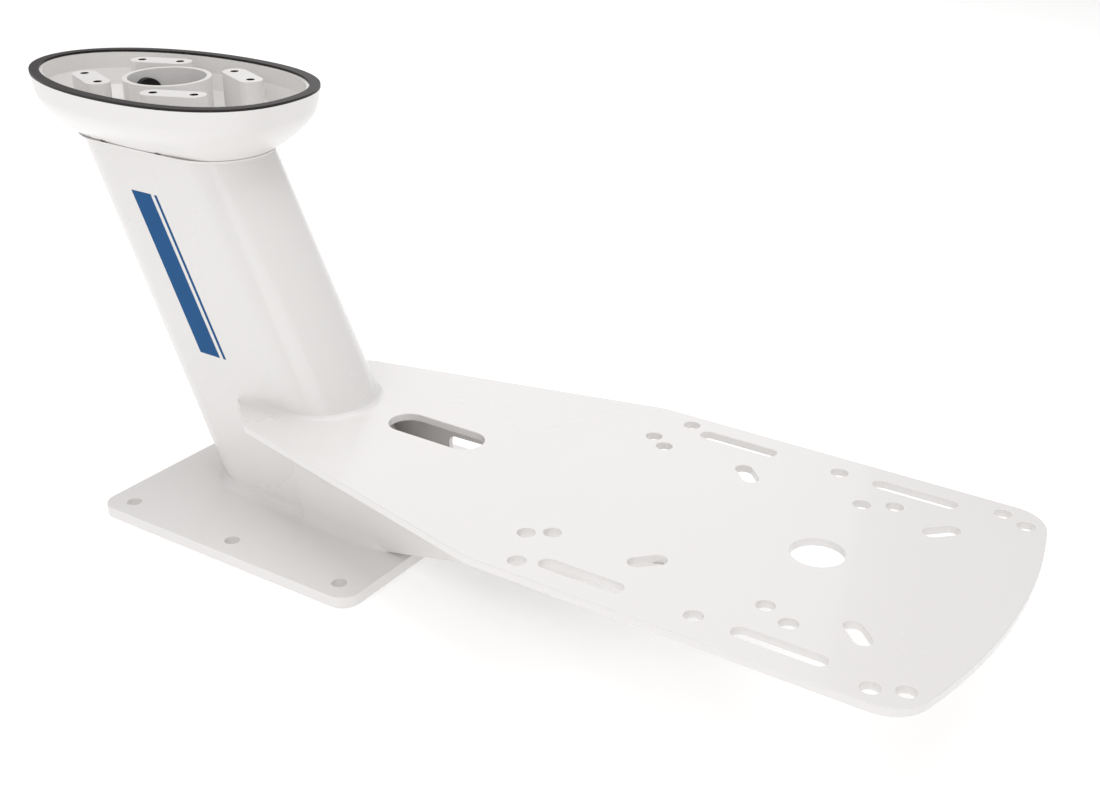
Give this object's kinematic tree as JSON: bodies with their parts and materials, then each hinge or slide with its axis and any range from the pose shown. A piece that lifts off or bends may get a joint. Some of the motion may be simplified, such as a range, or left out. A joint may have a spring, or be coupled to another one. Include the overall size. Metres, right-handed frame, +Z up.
{
  "type": "dual radar and satellite dome mount",
  "caption": "Raked hollow mast on a bolted base plate, carrying a cast oval bowl for a dome antenna and a drilled forward platform for a radar.",
  "frame": {"origin": "centre of the base plate's underside, which is also the centre of its bolt pattern", "axes": "+Z up, +X towards the free end of the radar platform, +Y to port; the mast leans towards -X"},
  "size_m": [0.8659, 0.28, 0.344],
  "materials": {
    "white_powder_coat": "gloss powder coat",
    "gasket_rubber": "satin",
    "grommet_rubber": "satin"
  },
  "bodies": {
    "root": {"base_plate": "white_powder_coat", "mast_tube": "white_powder_coat", "radar_platform": "white_powder_coat", "gusset_web_starboard": "white_powder_coat", "gusset_web_port": "white_powder_coat", "adapter_bowl": "white_powder_coat", "cable_tube": "white_powder_coat", "mast_foot_weld": "white_powder_coat", "platform_top_weld": "white_powder_coat", "platform_under_weld": "white_powder_coat", "bowl_weld": "white_powder_coat", "cable_tube_weld": "white_powder_coat", "web_foot_weld_starboard": "white_powder_coat", "web_foot_weld_port": "white_powder_coat", "web_platform_weld_starboard": "white_powder_coat", "web_platform_weld_port": "white_powder_coat", "web_seam_weld_starboard": "white_powder_coat", "web_seam_weld_port": "white_powder_coat", "top_gasket": "gasket_rubber", "cable_grommet": "grommet_rubber"}
  },
  "joints": []
}
